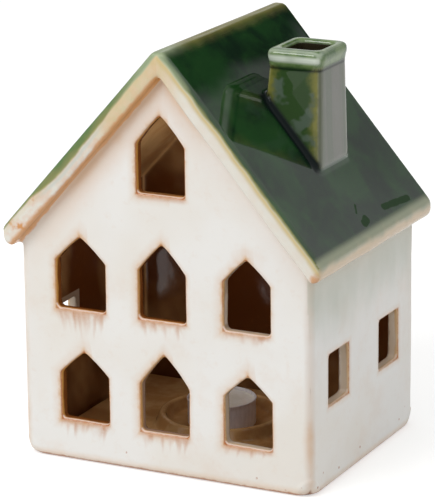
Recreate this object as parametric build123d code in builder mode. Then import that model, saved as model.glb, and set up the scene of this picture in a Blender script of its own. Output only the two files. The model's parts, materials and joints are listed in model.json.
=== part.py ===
from build123d import *
from math import hypot
import os

# Slab-built ceramic tealight house, in millimetres.
# +X runs to the right along the gable front, +Y goes in to the back wall, +Z is up.
# The origin is on the ground, under the middle of the walls.

# Walls
house_width = 174.0
house_depth = 136.5
wall_thickness = 7.0
wall_corner_round = 5.2
wall_foot_round = 3.3

# Roof
roof_apex_height = 236.8  # where the two slopes would meet, above the rounded ridge
ridge_offset = 2.1  # the ridge stands a little to the right of the middle
ridge_round = 6.3
roof_thickness = 11.35  # of the roof slabs, measured square to the slopes
eave_top_height = 128.7
eave_reach = 7.6  # how far the eaves stand out from the side walls
eave_lip = 1.2  # how far the eave's underside hangs below the top of the wall
eave_nose_round = 4.8
verge_overhang = 6.7  # how far the roof stands out over the gables
verge_round = 2.7

# Pointed windows in the gable front
window_width = 27.0
window_straight_height = 26.2
window_point_height = 15.2
window_side_bow = 0.6  # bow of the two sloping sides
window_column_step = 49.1
lower_sill_height = 23.6
middle_sill_height = 86.7
attic_window_share = 0.548  # of the spare wall over the middle window, what lies below the attic window
window_corner_round = 1.4
window_edge_round = 1.4

# Square windows in the side walls
side_window_width = 24.4
side_window_height = 27.2
right_window_sill_height = 45.4
right_front_window_y = -33.7
left_window_sill_height = 49.5
left_front_window_y = -31.5
rear_window_y = 32.4

# Chimney
chimney_x = 50.0
chimney_y = 8.1
chimney_width = 29.4
chimney_depth = 33.0
chimney_corner_round = 3.9
chimney_rise = 26.2  # how far its top stands above the roof along its upper side
flue_width = 21.0
flue_depth = 23.1
flue_corner_round = 2.4
rim_height = 7.8
rim_projection = 1.4
rim_edge_round = 3.0
rim_mouth_round = 1.2

# Base plate that the house stands over, with its raised tealight ring
plate_thickness = 8.7
plate_gap = 0.8  # all round, inside the walls
plate_corner_round = 3.0
plate_edge_round = 1.2
tealight_gap = 10.7  # all round, because the ring is far wider than the tealight
ring_height = 7.6
ring_crest_width = 3.0
ring_inner_lean = 1.6
ring_outer_lean = 2.8
ring_crest_round = 1.2

# Tealight
cup_diameter = 38.0
cup_height = 15.0
cup_wall = 0.4
cup_foot_round = 0.8
cup_bead_height = 0.8
cup_bead_reach = 0.35
cup_bead_round = 0.3
wax_depth = 12.4
wax_edge_climb = 0.5  # how far the wax climbs the cup's wall
wax_edge_width = 1.2
wick_diameter = 1.5
wick_bare_length = 6.5
sustainer_diameter = 13.0
sustainer_thickness = 0.4
sustainer_neck_diameter = 3.2
sustainer_neck_height = 2.8

cut_overrun = 8.0  # how far every cutting tool runs past the faces it opens

half_width = house_width / 2
half_depth = house_depth / 2
roof_half_length = half_depth + verge_overhang
eave_end_x = half_width + eave_reach
roof_rise = roof_apex_height - eave_top_height
roof_drop = roof_thickness * hypot(eave_end_x, roof_rise) / eave_end_x  # thickness straight down
underside_apex_height = roof_apex_height - roof_drop

os.makedirs("parts", exist_ok=True)


def slope_run(side):
    # level distance from the ridge to the eave's end, side is 1 on the right and -1 on the left
    return eave_end_x - side * ridge_offset


def roof_slope(side):
    return roof_rise / slope_run(side)


def underside_height(x):
    side = 1 if x > ridge_offset else -1
    return underside_apex_height - roof_slope(side) * abs(x - ridge_offset)


def roof_top_plane(side):
    # lies on the top of one slope, its normal pointing up and out
    normal = (side * roof_slope(side), 0, 1)
    return Plane(origin=(ridge_offset, 0, roof_apex_height), x_dir=(0, 1, 0), z_dir=normal)


def keep_part(piece, name):
    piece.part.label = name
    export_step(piece.part, f"parts/{name}.step")


# Gable walls: full-width slabs whose rounded ends make the corners of the house

gable_outline = [
    (-half_width, 0),
    (half_width, 0),
    (half_width, underside_height(half_width)),
    (ridge_offset, underside_apex_height),
    (-half_width, underside_height(-half_width)),
]


def round_gable_wall(outer_group):
    # rounds the two upright corners, then the foot along the outer side and the ends
    upright = edges().filter_by(Axis.Z).group_by(Axis.Y)[outer_group]
    fillet(upright, wall_corner_round)
    foot = faces().sort_by(Axis.Z)[0].edges().sort_by(Axis.Y)
    outer_foot = foot[:-1] if outer_group == 0 else foot[1:]
    fillet(outer_foot, wall_foot_round)


window_height = window_straight_height + window_point_height
middle_point_height = middle_sill_height + window_height
spare_height = underside_apex_height - middle_point_height - window_height
attic_sill_height = middle_point_height + attic_window_share * spare_height


def pointed_window(x, sill):
    left = x - window_width / 2
    right = x + window_width / 2
    shoulder = sill + window_straight_height
    point = sill + window_height
    side_length = hypot(window_width / 2, window_point_height)
    bow_x = window_side_bow * window_point_height / side_length
    bow_z = window_side_bow * window_width / 2 / side_length
    middle_z = (shoulder + point) / 2 + bow_z
    with BuildLine() as outline:
        Polyline((left, shoulder), (left, sill), (right, sill), (right, shoulder))
        ThreePointArc((right, shoulder), ((x + right) / 2 + bow_x, middle_z), (x, point))
        ThreePointArc((x, point), ((x + left) / 2 - bow_x, middle_z), (left, shoulder))
    make_face(outline.edges())


front_window_places = [
    (-window_column_step, lower_sill_height),
    (0, lower_sill_height),
    (window_column_step, lower_sill_height),
    (-window_column_step, middle_sill_height),
    (0, middle_sill_height),
    (window_column_step, middle_sill_height),
    (0, attic_sill_height),
]

with BuildPart() as front_wall:
    with BuildSketch(Plane.XZ.offset(half_depth - wall_thickness)):
        with BuildLine():
            Polyline(*gable_outline, close=True)
        make_face()
    extrude(amount=wall_thickness)
    round_gable_wall(0)
    with BuildSketch(Plane.XZ.offset(half_depth + cut_overrun)) as window_shapes:
        for window_x, window_sill in front_window_places:
            pointed_window(window_x, window_sill)
        fillet(window_shapes.vertices(), window_corner_round)
    extrude(amount=-wall_thickness - 2 * cut_overrun, mode=Mode.SUBTRACT)
    outer_face = faces().filter_by(Axis.Y).sort_by(Axis.Y)[0]
    fillet(outer_face.inner_wires().edges(), window_edge_round)
keep_part(front_wall, "front_wall")

with BuildPart() as back_wall:
    with BuildSketch(Plane.XZ.offset(-half_depth)):
        with BuildLine():
            Polyline(*gable_outline, close=True)
        make_face()
    extrude(amount=wall_thickness)
    round_gable_wall(-1)
keep_part(back_wall, "back_wall")


# Side walls: they stand between the gable walls, with two square windows each

def side_wall(side, window_sill, front_window_y):
    outer_x = side * half_width
    inner_x = side * (half_width - wall_thickness)
    with BuildPart() as wall:
        with BuildSketch(Plane.XZ):
            with BuildLine():
                Polyline(
                    (inner_x, 0),
                    (outer_x, 0),
                    (outer_x, underside_height(outer_x)),
                    (inner_x, underside_height(inner_x)),
                    close=True,
                )
            make_face()
        extrude(amount=half_depth - wall_thickness, both=True)
        foot = faces().sort_by(Axis.Z)[0].edges().filter_by(Axis.Y).sort_by(Axis.X)
        fillet(foot[-1] if side > 0 else foot[0], wall_foot_round)
        window_plane = Plane(origin=(outer_x, 0, 0), x_dir=(0, side, 0), z_dir=(side, 0, 0))
        window_middle = window_sill + side_window_height / 2
        with BuildSketch(window_plane.offset(cut_overrun)) as window_shapes:
            with Locations((side * front_window_y, window_middle), (side * rear_window_y, window_middle)):
                Rectangle(side_window_width, side_window_height)
            fillet(window_shapes.vertices(), window_corner_round)
        extrude(amount=-wall_thickness - 2 * cut_overrun, mode=Mode.SUBTRACT)
        upright_faces = faces().filter_by(Axis.X).sort_by(Axis.X)
        outer_face = upright_faces[-1] if side > 0 else upright_faces[0]
        fillet(outer_face.inner_wires().edges(), window_edge_round)
    return wall


keep_part(side_wall(-1, left_window_sill_height, left_front_window_y), "left_wall")
keep_part(side_wall(1, right_window_sill_height, right_front_window_y), "right_wall")


# Roof slabs: one profile with a rounded ridge and eaves, parted down the ridge

def eave_outline(side):
    # from the underside at the eave round to the top of the eave's end
    wall_top = underside_height(side * half_width)
    lip_x = side * (half_width + eave_lip / roof_slope(side))
    return [
        (lip_x, wall_top - eave_lip),
        (side * eave_end_x, wall_top - eave_lip),
        (side * eave_end_x, eave_top_height),
    ]


def roof_slab(side):
    with BuildPart() as slab:
        with BuildSketch(Plane.XZ) as profile:
            with BuildLine():
                Polyline(
                    (ridge_offset, underside_apex_height),
                    *eave_outline(1),
                    (ridge_offset, roof_apex_height),
                    *reversed(eave_outline(-1)),
                    close=True,
                )
            make_face()
            fillet(profile.vertices().sort_by(Axis.Y)[-1], ridge_round)
            ends = profile.vertices().filter_by(lambda corner: abs(corner.X) > half_width + eave_reach / 2)
            fillet(ends, eave_nose_round)
        extrude(amount=roof_half_length, both=True)
        split(bisect_by=Plane.YZ.offset(ridge_offset), keep=Keep.TOP if side > 0 else Keep.BOTTOM)
        # the edges on the ridge plane stay sharp, because the two slabs meet there
        gable_edges = faces().filter_by(Axis.Y).edges()
        verges = gable_edges.filter_by(lambda edge: abs(edge.center().X - ridge_offset) > verge_round / 2)
        fillet(verges, verge_round)
        if side > 0:
            with BuildSketch(Plane.XY.offset(eave_top_height - cut_overrun)):
                with Locations((chimney_x, chimney_y)):
                    RectangleRounded(flue_width, flue_depth, flue_corner_round)
            extrude(until=Until.LAST, mode=Mode.SUBTRACT)
    return slab


keep_part(roof_slab(-1), "left_roof_slab")
keep_part(roof_slab(1), "right_roof_slab")


# Chimney: a square shaft standing on the right slope, with a rolled rim

upper_side_run = chimney_x - chimney_width / 2 - ridge_offset
chimney_top_height = roof_apex_height - roof_slope(1) * upper_side_run + chimney_rise
shaft_top_height = chimney_top_height - rim_height

with BuildPart() as chimney_shaft:
    with BuildSketch(Plane.XY.offset(eave_top_height)):
        with Locations((chimney_x, chimney_y)):
            RectangleRounded(chimney_width, chimney_depth, chimney_corner_round)
            RectangleRounded(flue_width, flue_depth, flue_corner_round, mode=Mode.SUBTRACT)
    extrude(amount=shaft_top_height - eave_top_height)
    split(bisect_by=roof_top_plane(1), keep=Keep.TOP)
keep_part(chimney_shaft, "chimney_shaft")

with BuildPart() as chimney_rim:
    with BuildSketch(Plane.XY.offset(shaft_top_height)):
        with Locations((chimney_x, chimney_y)):
            RectangleRounded(
                chimney_width + 2 * rim_projection,
                chimney_depth + 2 * rim_projection,
                chimney_corner_round + rim_projection,
            )
    extrude(amount=rim_height)
    fillet(faces().filter_by(Axis.Z).edges(), rim_edge_round)
    with BuildSketch(Plane.XY.offset(shaft_top_height)):
        with Locations((chimney_x, chimney_y)):
            RectangleRounded(flue_width, flue_depth, flue_corner_round)
    extrude(amount=rim_height, mode=Mode.SUBTRACT)
    fillet(faces().sort_by(Axis.Z)[-1].inner_wires().edges(), rim_mouth_round)
keep_part(chimney_rim, "chimney_rim")


# Base plate, loose inside the walls, and the ring on it that centres the tealight

with BuildPart() as base_plate:
    with BuildSketch():
        RectangleRounded(
            house_width - 2 * (wall_thickness + plate_gap),
            house_depth - 2 * (wall_thickness + plate_gap),
            plate_corner_round,
        )
    extrude(amount=plate_thickness)
    fillet(faces().sort_by(Axis.Z)[-1].edges(), plate_edge_round)
keep_part(base_plate, "base_plate")

ring_bore_radius = cup_diameter / 2 + tealight_gap
ring_foot_radius = ring_bore_radius + ring_inner_lean + ring_crest_width + ring_outer_lean
ring_top_height = plate_thickness + ring_height

with BuildPart() as tealight_ring:
    with BuildSketch(Plane.XZ) as ring_section:
        with BuildLine():
            Polyline(
                (ring_bore_radius, plate_thickness),
                (ring_foot_radius, plate_thickness),
                (ring_foot_radius - ring_outer_lean, ring_top_height),
                (ring_bore_radius + ring_inner_lean, ring_top_height),
                close=True,
            )
        make_face()
        fillet(ring_section.vertices().group_by(Axis.Y)[-1], ring_crest_round)
    revolve(axis=Axis.Z)
keep_part(tealight_ring, "tealight_ring")


# Tealight: a thin metal cup with its wax, wick and wick sustainer

cup_radius = cup_diameter / 2
cup_base_height = plate_thickness
cup_top_height = cup_base_height + cup_height
cup_floor_height = cup_base_height + cup_wall
wax_radius = cup_radius - cup_wall
wax_top_height = cup_floor_height + wax_depth
wick_radius = wick_diameter / 2
neck_top_height = cup_floor_height + sustainer_neck_height

with BuildPart() as tealight_cup:
    with BuildSketch(Plane.XZ) as cup_section:
        with BuildLine():
            Polyline(
                (0, cup_base_height),
                (cup_radius, cup_base_height),
                (cup_radius, cup_top_height - cup_bead_height),
                (cup_radius + cup_bead_reach, cup_top_height - cup_bead_height),
                (cup_radius + cup_bead_reach, cup_top_height),
                (wax_radius, cup_top_height),
                (wax_radius, cup_floor_height),
                (0, cup_floor_height),
                close=True,
            )
        make_face()
        fillet(cup_section.vertices().group_by(Axis.Y)[0].sort_by(Axis.X)[-1], cup_foot_round)
        fillet(cup_section.vertices().group_by(Axis.X)[-1], cup_bead_round)
    revolve(axis=Axis.Z)
keep_part(tealight_cup, "tealight_cup")

with BuildPart() as tealight_wax:
    with BuildSketch(Plane.XZ):
        with BuildLine():
            Polyline(
                (wick_radius, neck_top_height),
                (sustainer_neck_diameter / 2, neck_top_height),
                (sustainer_neck_diameter / 2, cup_floor_height + sustainer_thickness),
                (sustainer_diameter / 2, cup_floor_height + sustainer_thickness),
                (sustainer_diameter / 2, cup_floor_height),
                (wax_radius, cup_floor_height),
                (wax_radius, wax_top_height + wax_edge_climb),
                (wax_radius - wax_edge_width, wax_top_height),
                (wick_radius, wax_top_height),
                close=True,
            )
        make_face()
    revolve(axis=Axis.Z)
keep_part(tealight_wax, "tealight_wax")

with BuildPart() as wick_sustainer:
    with BuildSketch(Plane.XZ):
        with BuildLine():
            Polyline(
                (wick_radius, cup_floor_height),
                (sustainer_diameter / 2, cup_floor_height),
                (sustainer_diameter / 2, cup_floor_height + sustainer_thickness),
                (sustainer_neck_diameter / 2, cup_floor_height + sustainer_thickness),
                (sustainer_neck_diameter / 2, neck_top_height),
                (wick_radius, neck_top_height),
                close=True,
            )
        make_face()
    revolve(axis=Axis.Z)
keep_part(wick_sustainer, "wick_sustainer")

with BuildPart() as wick:
    with BuildSketch(Plane.XY.offset(cup_floor_height)):
        Circle(wick_radius)
    extrude(amount=wax_depth + wick_bare_length)
    fillet(faces().sort_by(Axis.Z)[-1].edges(), wick_radius / 2)
keep_part(wick, "wick")
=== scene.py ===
import json
import math
from types import SimpleNamespace

import bmesh
import bpy
import numpy as np
from mathutils import Matrix, Vector


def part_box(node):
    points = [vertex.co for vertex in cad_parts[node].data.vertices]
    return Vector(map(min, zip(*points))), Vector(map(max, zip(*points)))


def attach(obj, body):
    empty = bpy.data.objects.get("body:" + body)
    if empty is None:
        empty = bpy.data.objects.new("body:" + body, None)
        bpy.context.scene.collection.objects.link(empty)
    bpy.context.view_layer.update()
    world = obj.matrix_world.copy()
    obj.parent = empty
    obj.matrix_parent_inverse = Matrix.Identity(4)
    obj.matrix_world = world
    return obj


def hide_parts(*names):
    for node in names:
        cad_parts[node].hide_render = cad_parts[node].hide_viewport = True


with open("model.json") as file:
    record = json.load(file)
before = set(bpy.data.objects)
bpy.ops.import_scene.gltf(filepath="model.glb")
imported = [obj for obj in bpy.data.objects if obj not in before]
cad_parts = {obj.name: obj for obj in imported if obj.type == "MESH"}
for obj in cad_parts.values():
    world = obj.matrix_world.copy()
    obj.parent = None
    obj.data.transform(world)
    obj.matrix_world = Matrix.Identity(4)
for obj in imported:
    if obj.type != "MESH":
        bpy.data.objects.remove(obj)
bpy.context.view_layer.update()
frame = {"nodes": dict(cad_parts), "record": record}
nodes = frame["nodes"]
openings = frame["record"]["physics"]["openings"]
bodies = frame["record"]["behaviour"]["bodies"]
mm = 0.001


def spanOf(node, axis):
    # the least and the greatest place of a CAD solid along an axis, in millimetres
    return [round(corner[axis] / mm, 2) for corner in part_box(node)]


# The house as the CAD has it, in millimetres
wallInside, wallOutside = spanOf("right_wall", 0)
ridgeX, eaveEndX = spanOf("right_roof_slab", 0)
plateTop, crestHeight = spanOf("tealight_ring", 2)
house = SimpleNamespace(
    halfWidth=wallOutside,
    halfDepth=spanOf("back_wall", 1)[1],
    wall=wallOutside - wallInside,
    apexHeight=236.8,  # of the sharp ridge, before its rounding
    ridgeX=ridgeX,
    eaveTop=128.7,
    eaveEndX=eaveEndX,
    roofThickness=11.35,
    vergeY=spanOf("right_roof_slab", 1)[1],
    windowHalfWidth=13.5,
    windowStraight=26.2,
    windowPoint=15.2,
    sideWindowHalfWidth=12.2,
    sideWindowHeight=27.2,
    sillOffset=0.6,  # the stated openings start this far above the sills
)
shaftX, shaftY, shaftZ = [spanOf("chimney_shaft", axis) for axis in range(3)]
chimney = SimpleNamespace(
    x=sum(shaftX) / 2,
    y=sum(shaftY) / 2,
    halfWidth=(shaftX[1] - shaftX[0]) / 2,
    halfDepth=(shaftY[1] - shaftY[0]) / 2,
    flueHalfWidth=10.5,
    flueHalfDepth=11.55,
    shaftTop=shaftZ[1],
)
# thick glaze and a flared foot carry the chimney's visible faces out, to the left, right, front and back
chimneyLook = {"growTop": (0.9, 0.3, 2.2, 0.0), "growFoot": (1.2, 2.0, 6.0, 0.0)}
roofRise = house.apexHeight - house.eaveTop
rightSlope = roofRise / (house.eaveEndX - house.ridgeX)
leftSlope = roofRise / (house.eaveEndX + house.ridgeX)
roofDrop = house.roofThickness * math.hypot(house.eaveEndX, roofRise) / house.eaveEndX
rightUp = np.array((rightSlope, 0, 1)) / math.hypot(rightSlope, 1)
leftUp = np.array((-leftSlope, 0, 1)) / math.hypot(leftSlope, 1)
ridgeTop = np.array((house.ridgeX, 0, house.apexHeight))


def softNoise(points, lump, seed):
    # smooth waves, mostly between -1 and 1; lump is the size of one bump, in the units of the points
    dice = np.random.default_rng(seed)
    total = np.zeros(len(points))
    for wave in range(10):
        direction = dice.normal(size=3)
        direction /= np.linalg.norm(direction)
        rate = math.pi / lump * dice.uniform(0.6, 1.5)
        total += np.sin(points @ direction * rate + dice.uniform(0, 2 * math.pi))
    return total / 3.2


def swell(place, lump, seed, height):
    # slow waves between 0 and height
    return (0.5 + 0.5 * np.tanh(0.8 * softNoise(place, lump, seed))) * height


def fade(values, low, high):
    # soft step from 0 at low to 1 at high
    part = np.clip((values - low) / (high - low), 0, 1)
    return part * part * (3 - 2 * part)


def readPoints(mesh):
    points, normals = np.empty((2, len(mesh.vertices) * 3))
    mesh.vertices.foreach_get("co", points)
    mesh.vertices.foreach_get("normal", normals)
    return points.reshape(-1, 3), normals.reshape(-1, 3)


def writePoints(mesh, points):
    mesh.vertices.foreach_set("co", points.ravel())
    mesh.update()


def keepMeasure(mesh, name, values):
    layer = mesh.attributes.new(name, "FLOAT", "POINT")
    layer.data.foreach_set("value", values.astype(np.float32))


def soften(mesh, points, weight, rounds):
    # relaxes the surface where weight is above 0, so that an inner corner fills up like pooled glaze
    ends = np.empty(len(mesh.edges) * 2, dtype=np.int64)
    mesh.edges.foreach_get("vertices", ends)
    first, second = ends[0::2], ends[1::2]
    near = (weight[first] > 0) | (weight[second] > 0)
    first, second = first[near], second[near]
    used, places = np.unique(np.concatenate((first, second)), return_inverse=True)
    first, second = places[: len(first)], places[len(first):]
    local, share = points[used].copy(), weight[used][:, None]
    count = (np.bincount(first, minlength=len(used)) + np.bincount(second, minlength=len(used)))[:, None]
    for turn in range(rounds):
        total = np.empty_like(local)
        for column in range(3):
            total[:, column] = np.bincount(first, local[second, column], len(used))
            total[:, column] += np.bincount(second, local[first, column], len(used))
        local += share * 0.5 * (total / count - local)
    points[used] = local
    return points


def chimneyGrowth(place):
    # how far the chimney's visible faces stand outside the CAD's, sideways and lengthways
    foot = house.apexHeight - rightSlope * (place[:, 0] - house.ridgeX)
    lift = np.clip((place[:, 2] - foot) / np.maximum(chimney.shaftTop - foot, 5), 0, 1)
    left, right, front, back = (
        low + (top - low) * lift for low, top in zip(chimneyLook["growFoot"], chimneyLook["growTop"])
    )
    sideways = np.where(place[:, 0] < chimney.x, left, right)
    return sideways, np.where(place[:, 1] < chimney.y, front, back)


def spreadChimney(piece):
    # moves the outer faces of a copy of the chimney out, and leaves the flue
    spots = np.array([tuple(vert.co) for vert in piece.verts]) / mm
    for vert, spot, sideways, lengthways in zip(piece.verts, spots, *chimneyGrowth(spots)):
        across, along = spot[0] - chimney.x, spot[1] - chimney.y
        if abs(across) > chimney.flueHalfWidth + 1:
            vert.co.x += math.copysign(sideways, across) * mm
        if abs(along) > chimney.flueHalfDepth + 1:
            vert.co.y += math.copysign(lengthways, along) * mm


def gapsOf(place):
    # how far each point lies from the faces and edges that the glaze follows, in millimetres
    x, y, z = place.T
    gaps = SimpleNamespace(onRight=x > house.ridgeX)
    gaps.roof = np.where(gaps.onRight, (ridgeTop - place) @ rightUp, (ridgeTop - place) @ leftUp)
    gaps.ridge = np.abs(x - house.ridgeX)
    gaps.verge = house.vergeY - np.abs(y)
    gaps.eave = house.eaveEndX - np.abs(x)
    gaps.corner = np.hypot(house.halfWidth - np.abs(x), house.halfDepth - np.abs(y))
    sideways, lengthways = chimneyGrowth(place)
    gaps.across = np.abs(x - chimney.x) - chimney.halfWidth - sideways
    gaps.along = np.abs(y - chimney.y) - chimney.halfDepth - lengthways
    gaps.shaft = np.maximum(gaps.across, gaps.along)
    gaps.foot = np.hypot(np.maximum(-gaps.roof, 0), np.maximum(gaps.shaft, 0))
    gaps.rim = z - chimney.shaftTop
    return gaps


def addObject(name, data):
    made = bpy.data.objects.new(name, data)
    bpy.context.scene.collection.objects.link(made)
    return made


def fusedClay(name, nodeNames, look):
    # merged copies of CAD solids, grown together as the potter's slabs are, with their edges softened
    clay = bmesh.new()
    for nodeName in nodeNames:
        piece = bmesh.new()
        piece.from_mesh(nodes[nodeName].data)
        bmesh.ops.remove_doubles(piece, verts=piece.verts, dist=1e-6)
        if nodeName.startswith("chimney"):
            spreadChimney(piece)
        carrier = bpy.data.meshes.new("carrier")
        piece.to_mesh(carrier)
        piece.free()
        clay.from_mesh(carrier)
        bpy.data.meshes.remove(carrier)
    mesh = bpy.data.meshes.new(name + "Rough")
    clay.to_mesh(mesh)
    clay.free()
    holder = addObject(name + "Holder", mesh)
    remesh = holder.modifiers.new("grain", "REMESH")
    remesh.mode = "VOXEL"
    remesh.voxel_size = look["voxel"]
    remesh.adaptivity = 0
    remesh.use_smooth_shade = True
    smooth = holder.modifiers.new("sponge", "SMOOTH")
    smooth.factor = 0.5
    smooth.iterations = look["smoothRounds"]
    shaped = bpy.data.meshes.new_from_object(holder.evaluated_get(bpy.context.evaluated_depsgraph_get()))
    bpy.data.objects.remove(holder)
    bpy.data.meshes.remove(mesh)
    shaped.name = name
    print(name, len(shaped.vertices), "vertices")
    return shaped


def cutAway(clay, point, normal):
    # keeps what lies behind the plane, and closes the cut with a flat face
    cut = bmesh.ops.bisect_plane(
        clay, geom=clay.verts[:] + clay.edges[:] + clay.faces[:], dist=1e-7,
        plane_co=point, plane_no=normal, clear_outer=True,
    )
    rim = [item for item in cut["geom_cut"] if isinstance(item, bmesh.types.BMEdge)]
    if not rim:
        return
    closed = bmesh.ops.triangle_fill(clay, use_beauty=False, use_dissolve=False, edges=rim, normal=normal)
    for item in closed["geom"]:
        if isinstance(item, bmesh.types.BMFace):
            item.smooth = False
    for edge in rim:
        edge.smooth = False


def pieceFromClay(name, clay, material, body, slotName, *standsFor):
    mesh = bpy.data.meshes.new(name)
    clay.to_mesh(mesh)
    clay.free()
    mesh.materials.append(material)
    piece = addObject(name, mesh)
    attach(piece, body)
    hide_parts(*standsFor)
    print(name, len(mesh.polygons), "faces")


def asLight(*levels):
    # a colour as a screen shows it, 0 to 255, turned into amounts of light by the sRGB curve
    shown = [level / 255 for level in levels]
    return tuple(part / 12.92 if part <= 0.04 else ((part + 0.055) / 1.055) ** 2.4 for part in shown)


def asPaints(colors):
    return {name: asLight(*levels) for name, levels in colors.items()}


class Shading:
    # a node tree, with short ways to add its nodes
    def __init__(self, tree):
        self.tree = tree

    def node(self, kind, **settings):
        made = self.tree.nodes.new(kind)
        for key, value in settings.items():
            setattr(made, key, value)
        return made

    def feed(self, socket, value):
        if isinstance(value, bpy.types.NodeSocket):
            self.tree.links.new(value, socket)
        elif isinstance(value, tuple) and len(value) == 3 and socket.type == "RGBA":
            socket.default_value = (*value, 1)
        else:
            socket.default_value = value

    def sums(self, operation, first, second):
        made = self.node("ShaderNodeMath", operation=operation)
        self.feed(made.inputs[0], first)
        self.feed(made.inputs[1], second)
        return made.outputs[0]

    def times(self, first, *others):
        for other in others:
            first = self.sums("MULTIPLY", first, other)
        return first

    def most(self, first, *others):
        for other in others:
            first = self.sums("MAXIMUM", first, other)
        return first

    def fade(self, value, low, high, start=0.0, end=1.0):
        made = self.node("ShaderNodeMapRange", interpolation_type="SMOOTHSTEP")
        sockets = ("Value", "From Min", "From Max", "To Min", "To Max")
        for name, item in zip(sockets, (value, low, high, start, end)):
            self.feed(made.inputs[name], item)
        return made.outputs["Result"]

    def band(self, value, low, middle, high):
        # rises from low to middle and falls again to high
        return self.times(self.fade(value, low, middle), self.fade(value, high, middle))


class Glaze(Shading):
    # a material; its sizes are in metres on the piece itself
    def __init__(self, name, layers=None):
        self.material = bpy.data.materials.new(name)
        self.material.use_nodes = True
        super().__init__(self.material.node_tree)
        self.shader = self.tree.nodes["Principled BSDF"]
        self.place = self.node("ShaderNodeTexCoord").outputs["Object"]
        self.layers = layers
        self.color = None

    def measure(self, name):
        return self.node("ShaderNodeAttribute", attribute_name=name).outputs["Fac"]

    def axis(self, name):
        split = self.node("ShaderNodeSeparateXYZ")
        self.feed(split.inputs[0], self.place)
        return split.outputs[name]

    def share(self, layer, value):
        # how much of a layer shows: two limits say where it starts and is full, two more the least and the
        # most that shows, and three make a band
        limits = self.layers[layer]
        return self.band(value, *limits) if len(limits) == 3 else self.fade(value, *limits)

    def lay(self, paint, layer, value, *masks):
        # covers the colour so far with a paint, as far as the layer shows
        self.color = self.mix(self.times(self.share(layer, value), *masks), self.color, paint)

    def spread(self, stretch, shift):
        mapping = self.node("ShaderNodeMapping")
        self.feed(mapping.inputs["Vector"], self.place)
        mapping.inputs["Location"].default_value = (shift, shift * 0.7, shift * 1.3)
        mapping.inputs["Scale"].default_value = stretch
        return mapping.outputs["Vector"]

    def noise(self, lump, detail=2.0, rough=0.5, stretch=(1, 1, 1), shift=0.0, twist=0.0):
        made = self.node("ShaderNodeTexNoise")
        self.feed(made.inputs["Vector"], self.spread(stretch, shift))
        made.inputs["Scale"].default_value = 1 / lump
        made.inputs["Detail"].default_value = detail
        made.inputs["Roughness"].default_value = rough
        made.inputs["Distortion"].default_value = twist
        return made.outputs["Fac"]

    def dots(self, gap, shift):
        made = self.node("ShaderNodeTexVoronoi", feature="F1")
        self.feed(made.inputs["Vector"], self.spread((1, 1, 1), shift))
        made.inputs["Scale"].default_value = 1 / gap
        return made.outputs["Distance"]

    def ragged(self, value, noise, reach):
        # shifts a measure to and fro with a noise, by up to reach
        return self.sums("ADD", value, self.times(self.sums("SUBTRACT", noise, 0.5), reach * 2))

    def mix(self, part, first, second):
        made = self.node("ShaderNodeMix", data_type="RGBA", clamp_factor=True)
        self.feed(made.inputs[0], part)
        self.feed(made.inputs[6], first)
        self.feed(made.inputs[7], second)
        return made.outputs[2]

    def coat(self, color, roughness, bump=None, bumpHeight=0.0001, **fixed):
        self.feed(self.shader.inputs["Base Color"], color)
        self.feed(self.shader.inputs["Roughness"], roughness)
        for name, value in fixed.items():
            self.shader.inputs[name.replace("_", " ")].default_value = value
        if bump is not None:
            made = self.node("ShaderNodeBump")
            self.feed(made.inputs["Height"], bump)
            made.inputs["Distance"].default_value = bumpHeight
            self.feed(self.shader.inputs["Normal"], made.outputs["Normal"])
        return self.material


# The cream glaze: its colours as a screen shows them, and the limits of its layers, in millimetres from an
# edge, in metres up from the ground or as the level of a noise
wallGlaze = asPaints({
    "cream": (234, 232, 228),
    "warmCream": (230, 225, 217),
    "blush": (220, 196, 176),
    "streak": (196, 150, 118),
    "tan": (212, 166, 112),
    "rust": (168, 96, 40),
    "crease": (212, 146, 76),
    "edgeBrown": (96, 52, 22),
    "jambGold": (206, 148, 76),
    "paleGold": (206, 178, 138),
    # sillHighlight: a painted highlight on the sills' rounded front edges
    "sillHighlight": (246, 228, 218),
    "jambBrown": (128, 74, 32),
    "paleJamb": (208, 190, 168),
    "inside": (200, 160, 108),
    "insideDark": (180, 134, 84),
    "crest": (206, 168, 118),
    "reedGreen": (180, 188, 174),
})
wallLayers = {
    "clouds": (0.40, 0.68),
    "blushPatches": (0.52, 0.76, 0, 0.22),
    "blushGrain": (0.56, 0.80, 0, 0.16),
    "greenTopTint": (30.0, 2.0, 0, 0.75),
    "windowBlush": (7.5, 0.6, 0, 0.6),
    "windowTan": (3.4, 0.2, 0, 0.8),
    "streaks": (0.2, 0.55, 0.825, 1.21),
    "eaveBlush": (19.0, 1.0),
    "eaveTan": (6.5, 0.5, 0, 0.55),
    "low": (0.125, 0.025),
    "lowBlush": (0, 1, 0.35, 0.85),
    "cornerBlush": (6.0, 0.8),
    "cornerTan": (3.4, 0.4, 0, 0.6),
    "footTan": (0.0060, 0.0020, 0, 0.35),
    "footRust": (0.0022, 0.0012, 0, 0.75),
    "pits": (0.17, 0.10, 0, 0.8),
    "pitPatches": (0.52, 0.60),
    "pitHeight": (0.016, 0.010),
    "nearWindow": (1.6, 0.4),
    "edgeTan": (1.1, -0.1),
    "crease": (1.15, 0.35),
    "goldLip": (0.3, 1.0),
    "goldInside": (2.4, 3.0),
    "rustLip": (0.0, 0.45, 1.1),
    "jambBrown": (1.9, 3.0),
    "paleJamb": (1.2, 2.8),
    "sillHighlight": (0.5, 1.3, 2.1),
    "innerEdge": (5.2, 6.2),
    "paleEdge": (0, 1, 1.0, 0.45),
    "insidePatches": (0.36, 0.68),
    "inside": (6.5, 7.3),
    "glossyEdge": (1.8, 0.6),
    "glossyInside": (5.0, 6.5),
    "satin": (0, 1, 0.30, 0.11),
}


def insideBrown(g, broad):
    return g.mix(g.fade(broad, *wallLayers["insidePatches"]), wallGlaze["inside"], wallGlaze["insideDark"])


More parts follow.
